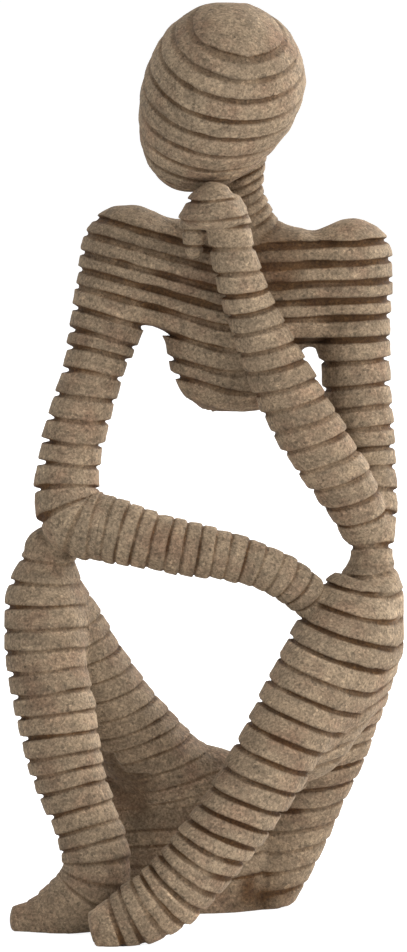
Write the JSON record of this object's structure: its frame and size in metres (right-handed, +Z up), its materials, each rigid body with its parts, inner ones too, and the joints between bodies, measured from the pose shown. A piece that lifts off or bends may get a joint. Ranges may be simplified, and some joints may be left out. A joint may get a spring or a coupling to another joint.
{
  "type": "thinker statue",
  "caption": "Seated thinking figure with a faceless egg head, its sand-textured body grooved into stacked rings; a free-standing ornament on felt pads.",
  "frame": {"origin": "on the table under the middle of the figure's box", "axes": "+Z up, -Y the way the figure faces, +X to the figure's own left"},
  "size_m": [0.1306, 0.1006, 0.301],
  "materials": {
    "sand_resin": "matte",
    "steel": "satin",
    "felt": "matte"
  },
  "bodies": {
    "root": {"head": "sand_resin", "neck": "sand_resin", "torso": "sand_resin", "right_upper_arm": "sand_resin", "right_forearm": "sand_resin", "left_upper_arm": "sand_resin", "left_forearm": "sand_resin", "left_hand": "sand_resin", "right_thigh": "sand_resin", "right_shin": "sand_resin", "right_foot": "sand_resin", "left_thigh": "sand_resin", "left_shin": "sand_resin", "left_foot": "sand_resin", "seat": "sand_resin", "neck_dowel": "steel", "shoulder_dowels": "steel", "elbow_dowels": "steel", "elbow_rest_dowels": "steel", "wrist_dowels": "steel", "knee_dowels": "steel", "hip_dowels": "steel", "ankle_dowels": "steel", "right_foot_pad": "felt", "left_foot_pad": "felt", "seat_pad": "felt"}
  },
  "joints": []
}
